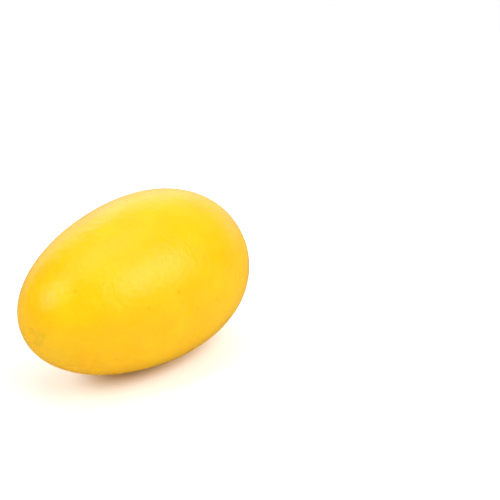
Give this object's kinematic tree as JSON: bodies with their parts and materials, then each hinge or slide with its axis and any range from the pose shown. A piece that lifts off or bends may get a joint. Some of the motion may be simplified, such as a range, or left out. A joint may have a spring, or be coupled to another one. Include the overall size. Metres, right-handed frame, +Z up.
{
  "type": "egg shaker",
  "caption": "Egg-shaped hand shaker turned from wood and painted, with a shot chamber bored from its blunt end, a glued plug and loose steel shot.",
  "frame": {"origin": "the point the egg lies on, straight below the axis at the widest station", "axes": "+X along the egg's long axis towards its blunt end, +Z up as the egg lies on its side, +Y across it"},
  "size_m": [0.0628, 0.04, 0.04],
  "materials": {
    "painted_wood": "yellow enamel over turned hardwood, semi-gloss",
    "painted_plug": "yellow enamel over a hardwood dowel, semi-gloss",
    "steel_shot": "plain polished shot"
  },
  "bodies": {
    "egg": {"egg_body": "painted_wood", "end_plug": "painted_plug"},
    "shot_01": {"shot_01": "steel_shot"},
    "shot_02": {"shot_02": "steel_shot"},
    "shot_03": {"shot_03": "steel_shot"},
    "shot_04": {"shot_04": "steel_shot"},
    "shot_05": {"shot_05": "steel_shot"},
    "shot_06": {"shot_06": "steel_shot"},
    "shot_07": {"shot_07": "steel_shot"},
    "shot_08": {"shot_08": "steel_shot"},
    "shot_09": {"shot_09": "steel_shot"},
    "shot_10": {"shot_10": "steel_shot"},
    "shot_11": {"shot_11": "steel_shot"},
    "shot_12": {"shot_12": "steel_shot"},
    "shot_13": {"shot_13": "steel_shot"},
    "shot_14": {"shot_14": "steel_shot"},
    "shot_15": {"shot_15": "steel_shot"},
    "shot_16": {"shot_16": "steel_shot"},
    "shot_17": {"shot_17": "steel_shot"},
    "shot_18": {"shot_18": "steel_shot"},
    "shot_19": {"shot_19": "steel_shot"},
    "shot_20": {"shot_20": "steel_shot"},
    "shot_21": {"shot_21": "steel_shot"},
    "shot_22": {"shot_22": "steel_shot"},
    "shot_23": {"shot_23": "steel_shot"},
    "shot_24": {"shot_24": "steel_shot"},
    "shot_25": {"shot_25": "steel_shot"},
    "shot_26": {"shot_26": "steel_shot"},
    "shot_27": {"shot_27": "steel_shot"}
  },
  "joints": [
    {"name": "shot_01_travel", "type": "slide", "parent": "egg", "child": "shot_01", "axis": [0, 0, 1], "range_m": [0, 0.01333]},
    {"name": "shot_02_travel", "type": "slide", "parent": "egg", "child": "shot_02", "axis": [0, 0, 1], "range_m": [0, 0.0157]},
    {"name": "shot_03_travel", "type": "slide", "parent": "egg", "child": "shot_03", "axis": [0, 0, 1], "range_m": [0, 0.01333]},
    {"name": "shot_04_travel", "type": "slide", "parent": "egg", "child": "shot_04", "axis": [0, 0, 1], "range_m": [0, 0.01333]},
    {"name": "shot_05_travel", "type": "slide", "parent": "egg", "child": "shot_05", "axis": [0, 0, 1], "range_m": [0, 0.0157]},
    {"name": "shot_06_travel", "type": "slide", "parent": "egg", "child": "shot_06", "axis": [0, 0, 1], "range_m": [0, 0.01333]},
    {"name": "shot_07_travel", "type": "slide", "parent": "egg", "child": "shot_07", "axis": [0, 0, 1], "range_m": [0, 0.01333]},
    {"name": "shot_08_travel", "type": "slide", "parent": "egg", "child": "shot_08", "axis": [0, 0, 1], "range_m": [0, 0.0157]},
    {"name": "shot_09_travel", "type": "slide", "parent": "egg", "child": "shot_09", "axis": [0, 0, 1], "range_m": [0, 0.01333]},
    {"name": "shot_10_travel", "type": "slide", "parent": "egg", "child": "shot_10", "axis": [0, 0, 1], "range_m": [0, 0.01333]},
    {"name": "shot_11_travel", "type": "slide", "parent": "egg", "child": "shot_11", "axis": [0, 0, 1], "range_m": [0, 0.0157]},
    {"name": "shot_12_travel", "type": "slide", "parent": "egg", "child": "shot_12", "axis": [0, 0, 1], "range_m": [0, 0.01333]},
    {"name": "shot_13_travel", "type": "slide", "parent": "egg", "child": "shot_13", "axis": [0, 0, 1], "range_m": [0, 0.01333]},
    {"name": "shot_14_travel", "type": "slide", "parent": "egg", "child": "shot_14", "axis": [0, 0, 1], "range_m": [0, 0.0157]},
    {"name": "shot_15_travel", "type": "slide", "parent": "egg", "child": "shot_15", "axis": [0, 0, 1], "range_m": [0, 0.01333]},
    {"name": "shot_16_travel", "type": "slide", "parent": "egg", "child": "shot_16", "axis": [0, 0, 1], "range_m": [0, 0.01333]},
    {"name": "shot_17_travel", "type": "slide", "parent": "egg", "child": "shot_17", "axis": [0, 0, 1], "range_m": [0, 0.0157]},
    {"name": "shot_18_travel", "type": "slide", "parent": "egg", "child": "shot_18", "axis": [0, 0, 1], "range_m": [0, 0.01333]},
    {"name": "shot_19_travel", "type": "slide", "parent": "egg", "child": "shot_19", "axis": [0, 0, 1], "range_m": [0, 0.01333]},
    {"name": "shot_20_travel", "type": "slide", "parent": "egg", "child": "shot_20", "axis": [0, 0, 1], "range_m": [0, 0.0157]},
    {"name": "shot_21_travel", "type": "slide", "parent": "egg", "child": "shot_21", "axis": [0, 0, 1], "range_m": [0, 0.01333]},
    {"name": "shot_22_travel", "type": "slide", "parent": "egg", "child": "shot_22", "axis": [0, 0, 1], "range_m": [0, 0.01333]},
    {"name": "shot_23_travel", "type": "slide", "parent": "egg", "child": "shot_23", "axis": [0, 0, 1], "range_m": [0, 0.0157]},
    {"name": "shot_24_travel", "type": "slide", "parent": "egg", "child": "shot_24", "axis": [0, 0, 1], "range_m": [0, 0.01333]},
    {"name": "shot_25_travel", "type": "slide", "parent": "egg", "child": "shot_25", "axis": [0, 0, 1], "range_m": [0, 0.01333]},
    {"name": "shot_26_travel", "type": "slide", "parent": "egg", "child": "shot_26", "axis": [0, 0, 1], "range_m": [0, 0.0157]},
    {"name": "shot_27_travel", "type": "slide", "parent": "egg", "child": "shot_27", "axis": [0, 0, 1], "range_m": [0, 0.01333]}
  ]
}
